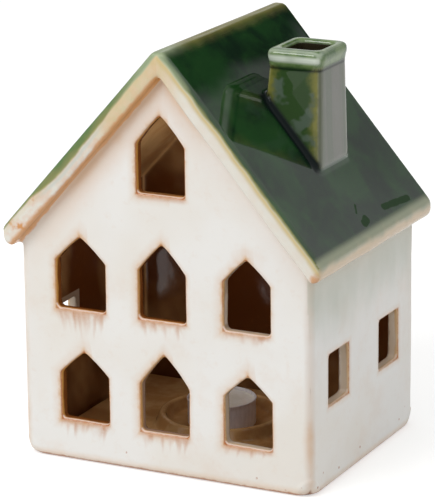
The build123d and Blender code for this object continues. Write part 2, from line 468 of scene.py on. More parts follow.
def makeWallMaterial():
    g = Glaze("creamGlaze", wallLayers)
    c = wallGlaze
    depth, halo, height = g.measure("depth"), g.measure("halo"), g.axis("Z")
    windowGap, underRoof = g.measure("windowGap"), g.measure("glow")
    broad, fine = g.noise(0.026, 4.0, 0.6), g.noise(0.0040, 3.0, shift=0.3)
    grain = g.noise(0.0016, 3.0, 0.6, shift=0.5)
    g.color = c["cream"]
    g.lay(c["warmCream"], "clouds", g.noise(0.060, 2.0, shift=0.2))
    g.lay(c["blush"], "blushPatches", broad)
    g.lay(c["blush"], "blushGrain", fine)
    # a grey-green tint at the top of the right-hand wall, strongest just under the eave
    run = g.ragged(g.measure("eaveRun"), g.noise(0.016, 2.0, stretch=(1, 1, 0.5), shift=0.8), 9.0)
    g.lay(c["reedGreen"], "greenTopTint", run, g.measure("sideWall"))
    # pinkish glow and streaks round the windows
    gap = g.ragged(halo, fine, 2.0)
    g.lay(c["blush"], "windowBlush", gap)
    g.lay(c["tan"], "windowTan", gap)
    g.lay(c["streak"], "streaks", grain, g.measure("drip"))
    # the glow under the roof, strongest on the left and at the top
    glow = g.ragged(g.measure("crease"), broad, 5.0)
    g.lay(c["blush"], "eaveBlush", glow, underRoof)
    g.lay(c["tan"], "eaveTan", glow, underRoof)
    # upright corners and the foot, where the glaze is thin
    thin, low = g.ragged(g.measure("corner"), broad, 3.0), g.share("low", height)
    g.lay(c["blush"], "cornerBlush", thin, g.share("lowBlush", low))
    g.lay(c["tan"], "cornerTan", thin, low)
    foot = g.ragged(height, fine, 0.0010)
    g.lay(c["tan"], "footTan", foot)
    g.lay(c["rust"], "footRust", foot)
    pitPatches = g.share("pitPatches", g.noise(0.014, 2.0, shift=0.6))
    g.lay(c["rust"], "pits", g.dots(0.0052, 0.1), pitPatches, g.share("pitHeight", height))
    # tan where the glaze breaks over the window edges, and the crease line under the roof
    nearWindow, lip = g.share("nearWindow", windowGap), g.ragged(depth, grain, 0.5)
    g.lay(c["tan"], "edgeTan", g.ragged(halo, grain, 0.8), nearWindow)
    g.lay(c["crease"], "crease", g.ragged(g.measure("creaseLine"), fine, 0.7), g.measure("creaseTint"))
    # jambs: gold, then brown, some with a pale band, and the brown glaze inside
    pale = g.measure("paleJamb")
    gold = g.mix(g.times(pale, 0.65), c["jambGold"], c["paleGold"])
    onJamb = g.most(g.times(g.share("goldLip", lip), nearWindow), g.share("goldInside", lip))
    g.color = g.mix(onJamb, g.color, gold)
    g.lay(c["rust"], "rustLip", lip, nearWindow)
    wavy = g.ragged(depth, g.noise(0.007, 2.0, stretch=(1, 1, 0.5), shift=0.4), 1.5)
    g.lay(c["jambBrown"], "jambBrown", wavy)
    g.lay(c["paleJamb"], "paleJamb", wavy, pale)
    # a painted highlight: a pale pink-white line along the sills' rounded front edges
    g.lay(c["sillHighlight"], "sillHighlight", g.ragged(depth, fine, 0.4), g.measure("sill"), 0.85)
    g.lay(c["edgeBrown"], "innerEdge", g.ragged(depth, fine, 1.2), g.share("paleEdge", pale))
    g.lay(insideBrown(g, broad), "inside", depth)
    satin = g.share("satin", g.most(g.share("glossyEdge", windowGap), g.share("glossyInside", depth)))
    return g.coat(g.color, satin, g.noise(0.006, 3.0, 0.55, shift=0.9), 0.00008, IOR=1.5)


# The green glaze, in the same way
roofGlaze = asPaints({
    "deep": (12, 38, 21),
    "green": (26, 64, 28),
    "light": (62, 96, 42),
    "leaf": (92, 132, 70),
    "olive": (136, 134, 80),
    "paleOlive": (156, 152, 92),
    "ridgeOlive": (136, 130, 72),
    "sage": (162, 174, 140),
    "straw": (206, 186, 134),
    "gold": (214, 186, 140),
    "cream": (224, 220, 209),
    "mist": (196, 206, 208),
    # creaseInkAndShade: dark pooled glaze, darkened further as painted shade in the chimney's creases and as
    # a painted shadow under its rim
    "creaseInkAndShade": (8, 18, 18),
    "blot": (34, 60, 30),
    "shaftGreen": (38, 66, 22),
    "shaftOlive": (122, 120, 56),
    "shaftEdge": (166, 168, 128),
    # reflectionVeil: a painted reflection, grey-green, on the chimney's faces
    "reflectionVeil": (84, 98, 86),
    # sideSheen and paleSideSheen: a painted sheen on the chimney's right-hand side
    "sideSheen": (88, 95, 78),
    "paleSideSheen": (106, 104, 95),
    "rimGreen": (72, 102, 54),
    "rimPale": (112, 134, 84),
    # rimHighlight: a painted highlight on the chimney's rim
    "rimHighlight": (214, 222, 208),
    # eaveSheenGreen: grey-green thin glaze, partly a painted sheen
    "eaveSheenGreen": (146, 152, 124),
    "peach": (208, 184, 150),
    "orange": (206, 142, 78),
    # flue: painted shade, dark, inside the chimney's flue
    "flue": (44, 40, 26),
})
roofLayers = {
    "green": (0.36, 0.62),
    "speckle": (0.50, 0.80, 0, 0.15),
    "leaf": (-6.0, -3.4, 0, 0.8),
    "edgeLight": (7.0, 1.0, 0, 0.30),
    "thinReach": (0, 1, 1.9, 4.0),
    "ridgeLine": (7.5, 0.5),
    "shaftOlive": (8.0, 1.2),
    "shaftEdge": (2.2, 0.4, 0, 0.8),
    "reflectionVeil": (2.5, 6.0, 0, 0.7),
    "reflectionVeilClouds": (0.50, 0.58),
    "sideSheenStreaks": (0.4, 0.6),
    "rimPatches": (0.35, 0.65),
    "rimHighlightGlints": (0.2, 0.6, 0.6, 1.0),
    "blot": (0.5, -0.5),
    "warmPatches": (0.40, 0.62),
    "orangeSpots": (0.56, 0.68),
    "mist": (0.6, 1.8, 3.8),
    "strawPatches": (0.4, 0.7),
    "straw": (0.1, 1.4, 4.2),
    "olivePatches": (0.3, 0.7),
    "olive": (-0.7, 0.4),
    "endFace": (0.0, 1.3),
    "eavePeach": (0.0, 3.0),
    "eaveCreamHighlight": (5.5, 8.5),
    "cornerSpot": (5.0, 1.6, 0, 0.85),
    "crease": (2.4, 0.6),
    "gloss": (-0.4, 1.4, 0.022, 0.16),
    "mirror": (0, 1, 0.5, 0.06),
}


def chimneyColor(g, patch, fine, soft):
    # olive edges round a green middle with clouds of painted reflection, a right-hand side painted paler
    # grey as painted sheen, and a paler rim with painted highlights
    c = roofGlaze
    edge = g.measure("shaftEdge")
    g.color = c["shaftGreen"]
    g.lay(c["shaftOlive"], "shaftOlive", g.ragged(edge, patch, 5.0))
    g.lay(c["shaftEdge"], "shaftEdge", g.ragged(edge, fine, 1.0))
    # a painted reflection: grey-green clouds over the middle of the chimney's faces
    reflectionVeilClouds = g.share("reflectionVeilClouds", g.noise(0.020, 3.0, 0.6, shift=1.4))
    g.lay(c["reflectionVeil"], "reflectionVeil", g.ragged(edge, patch, 6.0), reflectionVeilClouds)
    # the right-hand side is painted paler grey, in upright streaks, as painted sheen
    streaks = g.share("sideSheenStreaks", g.noise(0.009, 2.0, stretch=(1, 1, 0.08), shift=2.1))
    sideSheen = g.mix(streaks, c["sideSheen"], c["paleSideSheen"])
    shaft = g.mix(g.times(g.measure("chimneySide"), 0.9), g.color, sideSheen)
    rim = g.mix(g.share("rimPatches", patch), c["rimGreen"], c["rimPale"])
    # painted highlights: a whitish band on the rim's front and lines on its top edges, broken into glints
    rim = g.mix(g.times(g.measure("rimHighlight"), g.share("rimHighlightGlints", soft)), rim, c["rimHighlight"])
    return g.mix(g.measure("rimBand"), shaft, rim)


def endFaceColor(g, patch, fine, run):
    # the green runs out through straw into cream, with mist, gold and orange in places
    c = roofGlaze
    g.color = c["cream"]
    g.lay(wallGlaze["blush"], "warmPatches", patch, g.measure("warmEnd"))
    g.lay(c["orange"], "orangeSpots", patch, g.measure("orangeSpots"))
    g.lay(c["mist"], "mist", run, g.measure("mist"), 0.8)
    gold = g.mix(g.share("strawPatches", fine), c["gold"], c["straw"])
    g.color = g.mix(g.measure("gold"), g.color, gold)
    g.lay(c["straw"], "straw", run, g.measure("strawBand"))
    return g.color


def makeRoofMaterial():
    g = Glaze("greenGlaze", roofLayers)
    c = roofGlaze
    greenGap, roofGap, apex = g.measure("greenGap"), g.measure("roofGap"), g.measure("apex")
    broad, fine = g.noise(0.030, 4.0, 0.6, twist=0.5), g.noise(0.0040, 3.0, shift=0.4)
    soft, patch = g.noise(0.013, 1.5, shift=0.7), g.noise(0.009, 3.0, 0.6, shift=0.2)
    run = g.ragged(greenGap, soft, 1.0)
    shaft, endFace = chimneyColor(g, patch, fine, soft), endFaceColor(g, patch, fine, run)
    g.color = c["deep"]
    g.lay(c["green"], "green", broad)
    g.lay(c["light"], "speckle", fine)
    g.lay(c["leaf"], "leaf", greenGap, g.measure("leftEnd"))
    # lighter along the gable edges, the ridge and the eaves, where the glaze is thin
    rim = g.ragged(g.measure("edgeGap"), soft, 1.6)
    g.lay(c["light"], "edgeLight", rim)
    thin = g.fade(rim, g.share("thinReach", apex), 0.0, 0.0, 0.8)
    g.color = g.mix(thin, g.color, g.mix(apex, c["olive"], c["sage"]))
    ridgeLine = g.share("ridgeLine", g.ragged(g.measure("ridgeGap"), soft, 1.6))
    g.color = g.mix(g.times(ridgeLine, 0.8), g.color, g.mix(apex, c["ridgeOlive"], c["sage"]))
    g.color = g.mix(g.measure("onChimney"), g.color, shaft)
    inkAndShade, blot = g.measure("inkAndShade"), g.share("blot", g.ragged(g.measure("blot"), fine, 1.0))
    g.color = g.mix(blot, g.color, c["blot"])
    # dark pooled glaze and painted shade in the chimney's foot crease, and a painted shadow under its rim
    g.color = g.mix(inkAndShade, g.color, c["creaseInkAndShade"])
    olive = g.mix(g.share("olivePatches", fine), c["olive"], c["paleOlive"])
    g.lay(g.mix(apex, olive, c["sage"]), "olive", run)
    g.lay(endFace, "endFace", run)
    # the eave's face: grey-green that is partly a painted sheen, peach where the glaze is thin, and a cream
    # lower edge that is partly a painted highlight
    eave = g.mix(g.share("eavePeach", g.ragged(roofGap, soft, 1.6)), c["eaveSheenGreen"], c["peach"])
    eave = g.mix(g.share("eaveCreamHighlight", roofGap), eave, c["cream"])
    g.color = g.mix(g.measure("eaveFace"), g.color, eave)
    g.lay(c["orange"], "cornerSpot", g.ragged(g.measure("cornerSpot"), fine, 3.0))
    creaseLine = g.ragged(g.measure("creaseLine"), fine, 0.9)
    g.lay(wallGlaze["crease"], "crease", creaseLine, g.measure("creaseTint"))
    g.color = g.mix(g.measure("inside"), g.color, insideBrown(g, broad))
    # the inside of the flue is painted dark, as painted shade
    g.color = g.mix(g.measure("flue"), g.color, c["flue"])
    gloss = g.most(g.share("gloss", run), g.times(ridgeLine, 0.3))
    # the dark glaze with painted shade in the creases, the painted shadow under the rim and the blots mirror
    # less, so that they stay dark
    dull = g.most(g.times(inkAndShade, 0.8), blot, g.times(ridgeLine, 0.85))
    g.feed(g.shader.inputs["Specular IOR Level"], g.share("mirror", dull))
    return g.coat(g.color, gloss, g.noise(0.018, 1.0, 0.5, shift=0.9), 0.00002, IOR=1.6)


wallMaterial = makeWallMaterial()
roofMaterial = makeRoofMaterial()
print("shell materials made")

# The house shell: all its slabs fused, smoothed, slightly uneven, then parted again where the CAD parts them
shellLook = {
    "voxel": 0.885 * mm,
    "smoothRounds": 4,
    "waves": (26.0, 3, 0.60),  # size, seed and height of the unevenness of hand-rolled slabs, in millimetres
    "ripples": (6.0, 5, 0.12),
    "roofWaves": (34.0, 9, 0.16),  # the roof's top is flatter, so that its reflections stay calm
    "footReach": (3.8, 1.0),  # of the pooled glaze at the chimney's foot: where it starts and is full
    "footRounds": 14,
    "rimReach": (-1.0, 1.5),
    "rimRounds": 12,  # the rim is rolled, so it is softer than the other edges
    "rimLift": 1.7,
    "edgeReach": (5.0, 1.5),  # of the softness of the ridge and of the outer edges of the roof slabs
    "edgeRounds": 16,
    "cornerReach": (5.0, 1.0),  # of the upright corners
    "cornerTop": (22, 30),  # how far they end below the eaves
    "cornerRounds": 14,
    "cornerFootReach": (11.0, 4.0),  # of the rounder ends at their feet
    "cornerFootRounds": 70,
    "flatFoot": (0.5, 3.0),  # the waves start between these heights
}
shell = fusedClay("shell", bodies["house"], shellLook)
points, normals = readPoints(shell)
place = points / mm
gaps = gapsOf(place)
footWeight = fade(gaps.foot, *shellLook["footReach"]) * (gaps.roof < 1.5) * (gaps.shaft > -1.5)
points = soften(shell, points, footWeight, shellLook["footRounds"])
rimWeight = fade(gaps.rim, *shellLook["rimReach"]) * (gaps.shaft < 6)
points = soften(shell, points, rimWeight, shellLook["rimRounds"])
points[:, 2] += rimWeight * shellLook["rimLift"] * mm
outerEdge = np.minimum(np.hypot(gaps.roof, gaps.verge), gaps.eave * 0.8)
outerEdge = np.minimum(outerEdge, np.hypot(gaps.ridge, gaps.roof * 0.5))
edgeWeight = fade(outerEdge, *shellLook["edgeReach"]) * (gaps.shaft > 4)
points = soften(shell, points, edgeWeight, shellLook["edgeRounds"])
underEave = fade(house.eaveTop - place[:, 2], *shellLook["cornerTop"])
cornerWeight = fade(gaps.corner, *shellLook["cornerReach"]) * underEave
points = soften(shell, points, cornerWeight, shellLook["cornerRounds"])
footCorner = fade(np.hypot(gaps.corner, place[:, 2]), *shellLook["cornerFootReach"])
points = soften(shell, points, footCorner, shellLook["cornerFootRounds"])

# the remesher leaves faint steps on the slopes, so the flat parts go back onto their planes
upNormal = np.where(gaps.onRight[:, None], rightUp, leftUp)
facesUp = fade((normals * upNormal).sum(axis=1), 0.990, 0.998)
flatTop = facesUp * (np.abs(gaps.roof) < 0.7) * (footWeight < 0.02)
points += upNormal * (gaps.roof * flatTop)[:, None] * mm

wavy = swell(place, *shellLook["waves"]) + swell(place, *shellLook["ripples"])
onTop = fade(gaps.roof, 2.0, 0.5)
inward = onTop * swell(place, *shellLook["roofWaves"]) + (1 - onTop) * wavy
inward *= fade(place[:, 2], *shellLook["flatFoot"]) * (1 - fade(footCorner, 0.0, 0.1))
points -= normals * inward[:, None] * mm
writePoints(shell, points)
print("shell shaped")

# the front windows are cut by hand: how far the glaze has run below each sill and how far the left edge, the
# right edge and the point lie from the CAD's, in millimetres, and how pale the jamb is
frontWindows = {
    "middle_left_window": {"run": 22, "handCut": (-1.6, 0.2, -1.7)},
    "middle_middle_window": {"run": 14, "handCut": (-0.6, -0.6, -0.4)},
    "middle_right_window": {"run": 9, "handCut": (0.5, -0.6, -2.6), "pale": 0.8},
    "lower_left_window": {"run": 14, "handCut": (0.0, 1.4, -2.8)},
    "lower_middle_window": {"run": 15, "handCut": (-0.4, 0.6, 1.7), "pale": 0.35},
    "lower_right_window": {"run": 9, "handCut": (0.6, 0.4, -3.3), "pale": 0.95},
    "attic_window": {"run": 4, "handCut": (-0.6, -0.2, 0.7)},
}
dripLook = {
    "halfSpan": 18,
    "step": 1.5,  # between two drips
    "lean": 0.12,  # how the long drips draw together below leanStart
    "leanStart": 9,
    "even": 0.7,  # strength of the even part close under the sill
    "evenReach": 4.5,
    "sides": (15.5, 12.5),
}


def dripsBelow(sideways, up, run, dice):
    # how strong the streaks are below one sill
    grid = np.arange(-dripLook["halfSpan"], dripLook["halfSpan"] + 0.1, dripLook["step"])
    reach = run * dice.uniform(0.25, 1.0, len(grid))
    strength = dice.uniform(0.1, 1.0, len(grid)) ** 1.2
    lean = np.minimum(up + dripLook["leanStart"], 0) * dripLook["lean"]
    across = sideways - lean * np.sign(sideways)
    flow = np.interp(across, grid, strength) * fade(-up, np.interp(across, grid, reach), 1.0)
    flow = np.maximum(flow, dripLook["even"] * fade(-up, dripLook["evenReach"], 0.5))
    return flow * (up < 0) * fade(np.abs(sideways), *dripLook["sides"])


def windowMeasures(place):
    # how far each point lies from the nearest window's edge, along its wall, and how the glaze lies there
    gap, halo = np.full(len(place), 60.0), np.full(len(place), 60.0)
    drip, pale, sill = np.zeros((3, len(place)))
    shift = np.zeros((len(place), 3))
    dice = np.random.default_rng(11)
    halfWidth, straight, point = house.windowHalfWidth, house.windowStraight, house.windowPoint
    for opening in openings:
        if not opening["name"].endswith("_window"):
            continue
        low, high = np.array(opening["box_m"]) / mm
        up = place[:, 2] - low[2] + house.sillOffset
        front = frontWindows.get(opening["name"])
        if front:
            sideways = place[:, 0] - (low[0] + high[0]) / 2
            near = place[:, 1] < 0.5 - house.halfDepth + house.wall
            slant = np.abs(sideways) * point + (up - straight - point) * halfWidth
            slant /= math.hypot(point, halfWidth)
            here = np.maximum(np.maximum(np.abs(sideways) - halfWidth, -up), slant)
            drip = np.maximum(drip, np.where(near, dripsBelow(sideways, up, front["run"], dice), 0))
            glow = here * np.where(sideways > 5, 1.8, 1.0)
            left, right, lift = front["handCut"]
            pull = np.where(near, fade(here, 9.0, 1.5), 0)
            shift[:, 0] += pull * (left + (right - left) * np.clip(sideways / halfWidth / 2 + 0.5, 0, 1))
            shift[:, 2] += pull * lift * np.clip((up - straight) / point, 0, 1)
        else:
            sideways = place[:, 1] - (low[1] + high[1]) / 2
            near = place[:, 0] * np.sign(low[0] + high[0]) > house.halfWidth - house.wall - 0.5
            here = np.maximum(np.abs(sideways) - house.sideWindowHalfWidth, -up)
            here = np.maximum(here, up - house.sideWindowHeight)
            glow = here * 1.5
        gap = np.where(near, np.minimum(gap, here), gap)
        halo = np.where(near, np.minimum(halo, glow), halo)
        pale = np.where(near & (here < 4), front.get("pale", 0) if front else 1, pale)
        # the sills, where a highlight is painted
        onSill = near & (here < 2) & (np.abs(up) < 1.5)
        sill = np.maximum(sill, onSill * (1.0 if front else 0.6))
    return {"windowGap": gap, "halo": halo, "drip": drip, "paleJamb": pale, "sill": sill}, shift


points, normals = readPoints(shell)
place = points / mm
x, y, z = place.T
gaps = gapsOf(place)
slopeRun = house.eaveEndX - house.ridgeX * np.where(gaps.onRight, 1, -1)
fall = gaps.ridge / slopeRun  # 0 on the ridge, 1 at the eave's end
depth = np.minimum(house.halfWidth - np.abs(x), house.halfDepth - np.abs(y))
crease = gaps.roof - house.roofThickness
onFront = y < -house.halfDepth + 9
leftFront = onFront & ~gaps.onRight

# how deep the green lies and how wide the crease line is on the left slab's front end and on the others, in
# millimetres, at places from the ridge, 0, to the eave, 1
glazeRuns = {
    "leftGreen": ((0, 0.10, 0.30, 0.45, 0.60, 0.70, 0.80, 1.0), (2.8, 2.8, 3.6, 4.8, 5.0, 3.8, 1.4, 1.1)),
    "otherGreen": ((0, 0.08, 0.3, 1.0), (3.0, 2.0, 1.5, 1.4)),
    "leftCrease": ((0, 0.04, 0.36, 0.42, 0.62, 0.70, 1.0), (0.4, 1.0, 1.1, 0.6, 0.6, 1.2, 1.8)),
    "otherCrease": 0.7,
}
leftGreen, otherGreen = (np.interp(fall, *glazeRuns[name]) for name in ("leftGreen", "otherGreen"))
greenGap = gaps.roof - np.where(leftFront, leftGreen, otherGreen)
creaseWidth = np.where(leftFront, np.interp(fall, *glazeRuns["leftCrease"]), glazeRuns["otherCrease"])

# the chimney: dark pooled glaze deepened by painted shade in the crease at its foot, a painted shadow under
# its rim, and painted highlights on the rim's front and edges
onChimney = (gaps.shaft < 6) * fade(-gaps.roof, 0.6, 2.2)
inFlue = (gaps.across < -3.4) & (gaps.along < -4.2) & (gaps.roof < 13) & (z < 223.5)
frontInkAndShade = fade(gaps.foot, 4.4, 2.0) * (gaps.along > -3) * fade(gaps.across, 1.0, -2.0) * (y < chimney.y)
leftInkAndShade = fade(gaps.foot, 2.8, 1.2) * (x < chimney.x)
# a painted shadow just under the rim
rimShadow = onChimney * fade(np.abs(gaps.rim + 0.6), 1.5, 0.4) * 0.8
# painted highlights on the rim: a band across its front and lines along its top edges
frontHighlight = onChimney * fade(np.abs(gaps.rim - 4.6), 2.4, 0.8) * fade(normals[:, 1], -0.5, -0.75)
edgeHighlight = 0.4 * onChimney * fade(np.abs(gaps.shaft + 0.4), 1.2, 0.4) * (gaps.rim > 6)

# dark blots in the glaze near the right eave: two ends, in x and y, and a radius each
blots = (
    ((88.0, -2.0), (89.0, -6.5), 2.7),
    ((87.5, 22.0), (89.0, 52.0), 2.0),
    ((82.0, -3.0), (84.5, -7.0), 0.9),
)
blotGap = np.full(len(place), 30.0)
for start, end, radius in blots:
    start, way = np.array(start), np.subtract(end, start)
    offset = place[:, :2] - start
    offset -= np.clip(offset @ way / (way @ way), 0, 1)[:, None] * way
    here = np.hypot(offset[:, 0] * math.hypot(rightSlope, 1), offset[:, 1]) - radius
    blotGap = np.where(gaps.onRight & (gaps.roof < 1), np.minimum(blotGap, here), blotGap)

glazed, handShift = windowMeasures(place)
eaveCorner = np.array((house.eaveEndX - 3.0, -house.vergeY, house.eaveTop - 7.5))
leftGlow, otherGlow = 0.85 * fade(fall, 0.95, 0.5), 0.18 + 0.6 * fade(fall, 0.34, 0.04)
leftGold, rightGold = 0.75 * fade(fall, 0.45, 0.25), 0.7 * fade(fall, 0.20, 0.02)
measures = {
    **glazed,
    "depth": np.clip(depth, -8, 12),
    "crease": np.clip(crease, -20, 60),
    "creaseLine": np.abs(crease) / creaseWidth,
    "creaseTint": np.where(leftFront, 0.85, 0.22) * (np.abs(y) > house.halfDepth - 4),
    "glow": np.where(leftFront, leftGlow, otherGlow) * (depth < 3),
    "corner": gaps.corner,
    "sideWall": (x > house.halfWidth - 3) & (depth < 3),
    "eaveRun": np.clip(crease, 0, 80),
    "greenGap": np.clip(greenGap, -12, 14),
    "roofGap": np.clip(gaps.roof, -4, 20),
    "edgeGap": np.clip(np.minimum(gaps.verge, gaps.eave * 1.5), 0, 30),
    "ridgeGap": gaps.ridge,
    "apex": fade(fall, 0.34, 0.05) * fade(y, -40, -68),
    "onChimney": onChimney,
    "chimneySide": onChimney * fade(normals[:, 0], 0.45, 0.8) * (gaps.rim < 0) * (x > chimney.x),
    "shaftEdge": np.maximum(-gaps.across, -gaps.along),
    "rimBand": onChimney * fade(gaps.rim, -0.2, 1.2),
    "inkAndShade": np.maximum(np.maximum(frontInkAndShade, leftInkAndShade), rimShadow),
    "rimHighlight": np.maximum(frontHighlight, edgeHighlight),
    "blot": blotGap,
    "orangeSpots": leftFront * fade(fall, 0.70, 0.85),
    "mist": np.where(leftFront, fade(fall, 0.25, 0.40) * fade(fall, 0.80, 0.65), 0.5),
    "gold": onFront * np.where(gaps.onRight, rightGold, leftGold),
    "leftEnd": leftFront * fade(gaps.verge, 3.0, 1.0),
    "warmEnd": np.where(gaps.onRight, 0.2, 0.8),
    "strawBand": np.where(leftFront, 0.25, 0.95),
    "eaveFace": fade(gaps.eave, 4.5, 1.2) * (gaps.verge >= 1.5),
    "cornerSpot": np.linalg.norm(place - eaveCorner, axis=1).clip(0, 20),
    "inside": (depth > 6) & (gaps.roof > 4.5),
    "flue": inFlue,
}
for name, values in measures.items():
    keepMeasure(shell, name, values)
writePoints(shell, points + handShift * mm)
print("shell measured")

parting = {  # where the shell is cut apart, in millimetres
    "seam": 0.5,  # the cuts stand this far off the surfaces they follow
    "stackFoot": 1.6,  # above the slope
    "rimFoot": 0.2,  # below the top of the shaft
    "innerFace": 0.9,  # beyond the walls' inner faces
}
rightUp, leftUp = Vector(rightUp), Vector(leftUp)
back, right, up = Vector((0, 1, 0)), Vector((1, 0, 0)), Vector((0, 0, 1))
ridge = Vector(ridgeTop) * mm
lowRidge = ridge - up * roofDrop * mm
seam = parting["seam"] * mm

whole = bmesh.new()
whole.from_mesh(shell)
stack = whole.copy()
stackFoot = ridge + rightUp * parting["stackFoot"] * mm
cutAway(stack, stackFoot, -rightUp)
rimFoot = up * (chimney.shaftTop - parting["rimFoot"]) * mm
rim = stack.copy()
cutAway(rim, rimFoot, -up)
pieceFromClay("chimneyRim", rim, roofMaterial, "house", "green_glaze", "chimney_rim")
cutAway(stack, rimFoot, up)
pieceFromClay("chimneyShaft", stack, roofMaterial, "house", "green_glaze", "chimney_shaft")
cutAway(whole, stackFoot, rightUp)

for name, side, upward in (("right", 1, rightUp), ("left", -1, leftUp)):
    slab = whole.copy()
    cutAway(slab, lowRidge - upward * seam, -upward)
    cutAway(slab, ridge, -right * side)
    pieceFromClay(name + "RoofSlab", slab, roofMaterial, "house", "green_glaze", name + "_roof_slab")

cutAway(whole, lowRidge - rightUp * seam, rightUp)
cutAway(whole, lowRidge - leftUp * seam, leftUp)
innerFace = back * (house.halfDepth - house.wall - parting["innerFace"]) * mm
for name, side in (("front", -1), ("back", 1)):
    wall = whole.copy()
    cutAway(wall, innerFace * side, -back * side)
    pieceFromClay(name + "Wall", wall, wallMaterial, "house", "cream_glaze", name + "_wall")
cutAway(whole, -innerFace, -back)
cutAway(whole, innerFace, back)
for name, side in (("right", 1), ("left", -1)):
    wall = whole.copy()
    cutAway(wall, Vector((0, 0, 0)), -right * side)
    pieceFromClay(name + "Wall", wall, wallMaterial, "house", "cream_glaze", name + "_wall")
whole.free()
print("shell parted")

# The base plate and its ring
plateLook = {
    "voxel": 0.91 * mm,
    "smoothRounds": 4,
    "waves": (18.0, 8, 0.4),  # size, seed and height
    "flatFoot": (0.3, 2.0),
    "cut": 0.5,  # the cut between plate and ring stands this far above the plate's top
    "crestRadius": 32.8,
}
plateLayers = {"patches": (0.38, 0.64), "crest": (2.4, 0.2, 0, 0.7)}


def makeBrownMaterial():
    g = Glaze("brownGlaze", plateLayers)
    broad, fine = g.noise(0.016, 4.0, 0.6), g.noise(0.0026, 3.0, shift=0.4)
    g.color = wallGlaze["inside"]
    g.lay(wallGlaze["insideDark"], "patches", broad)
    g.lay(wallGlaze["crest"], "crest", g.ragged(g.measure("crest"), fine, 1.6))
    return g.coat(g.color, 0.12, g.noise(0.007, 3.0, shift=0.9), 0.0001, IOR=1.5)


plateMesh = fusedClay("plate", bodies["base"], plateLook)
points, normals = readPoints(plateMesh)
place = points / mm
inward = swell(place, *plateLook["waves"]) * fade(place[:, 2], *plateLook["flatFoot"])
points -= normals * inward[:, None] * mm
writePoints(plateMesh, points)
outward = np.hypot(points[:, 0], points[:, 1]) / mm - plateLook["crestRadius"]
toCrest = np.hypot(outward, points[:, 2] / mm - crestHeight)
keepMeasure(plateMesh, "crest", np.clip(toCrest, 0, 20))
brownMaterial = makeBrownMaterial()
whole = bmesh.new()
whole.from_mesh(plateMesh)
ring = whole.copy()
plateCut = up * (plateTop + plateLook["cut"]) * mm
cutAway(ring, plateCut, -up)
cutAway(whole, plateCut, up)
pieceFromClay("tealightRing", ring, brownMaterial, "base", "brown_glaze", "tealight_ring")
pieceFromClay("basePlate", whole, brownMaterial, "base", "brown_glaze", "base_plate")
print("plate made")

# The tealight
tealightPaint = {
    "cup": (0.86, 0.83, 0.86),
    "steel": (0.60, 0.60, 0.61),
    "wax": asLight(232, 228, 218),
    "paleWax": asLight(242, 239, 232),
    "cotton": asLight(205, 198, 184),
    "paleCotton": asLight(236, 232, 222),
}
cupLook = {"steps": 144, "height": 15.0, "radius": 19.0, "wall": 0.4, "flutes": 48, "fluteDepth": 0.12}
waxLook = {"steps": 128, "radius": 18.5, "foot": 9.15, "top": 21.5, "climb": 0.45, "dip": 0.5}
wickLook = {
    "steps": 24, "rows": 60, "radius": 0.72, "foot": 9.2, "tip": 27.9,
    "strands": 3, "turns": 5.0, "lean": 0.5, "leanStart": 0.66, "taperStart": 0.93,
}


def makeMetalMaterial(name, color, roughness, metallic):
    g = Glaze(name)
    marks = g.noise(0.0015, 4.0, 0.6, stretch=(1, 1, 0.2))
    tint = g.mix(g.fade(marks, 0.3, 0.8), color, tuple(0.85 * value for value in color))
    shine = g.fade(marks, 0.3, 0.7, roughness * 0.8, roughness * 1.3)
    return g.coat(tint, shine, marks, 0.00003, Metallic=metallic)


def makeWaxMaterial():
    g = Glaze("candleWax")
    cloudy = g.noise(0.004, 3.0)
    color = g.mix(g.fade(cloudy, 0.35, 0.7), tealightPaint["wax"], tealightPaint["paleWax"])
    return g.coat(
        color, g.fade(cloudy, 0.3, 0.7, 0.35, 0.5), g.noise(0.0012, 3.0), 0.00003,
        Subsurface_Weight=0.25, Subsurface_Radius=(0.004, 0.003, 0.002), Subsurface_Scale=0.5,
    )


def makeCottonMaterial():
    g = Glaze("wickCotton")
    fibre = g.noise(0.0003, 3.0, 0.6, stretch=(1, 1, 0.2))
    color = g.mix(g.fade(fibre, 0.3, 0.7), tealightPaint["cotton"], tealightPaint["paleCotton"])
    return g.coat(color, 0.85, fibre, 0.00005, Sheen_Weight=0.3)


def spun(outline, steps):
    # a closed shape turned about the upright axis, from an outline of (radius, height) in millimetres
    clay = bmesh.new()
    verts = [clay.verts.new((radius * mm, 0, height * mm)) for radius, height in outline]
    edges = [clay.edges.new(pair) for pair in zip(verts, verts[1:])]
    bmesh.ops.spin(
        clay, geom=verts + edges, cent=(0, 0, 0), axis=(0, 0, 1), dvec=(0, 0, 0),
        angle=2 * math.pi, steps=steps, use_merge=True, use_duplicate=False,
    )
    bmesh.ops.remove_doubles(clay, verts=clay.verts, dist=1e-7)
    bmesh.ops.recalc_face_normals(clay, faces=clay.faces)
    for face in clay.faces:
        face.smooth = True
    return clay


def cupOutline():
    r, z, t = cupLook["radius"], plateTop, cupLook["wall"]
    top, inner = z + cupLook["height"], r - t
    outline = [(0, z), (r - 3.0, z), (r - 0.8, z), (r - 0.35, z + 0.15), (r - 0.1, z + 0.45), (r, z + 0.9)]
    outline += [(r, z + 3), (r, z + 6), (r, z + 9), (r, z + 12), (r, top - 0.9)]
    # the rolled rim
    outline += [(r + 0.15, top - 0.75), (r + 0.33, top - 0.55), (r + 0.33, top - 0.25)]
    outline += [(r + 0.15, top - 0.04), (r - 0.15, top), (inner, top - 0.15)]
    outline += [(inner, top - 1), (inner, z + 9), (inner, z + 5), (inner, z + 1.0), (inner - 0.4, z + t)]
    return outline + [(r - 4, z + t), (0, z + t)]


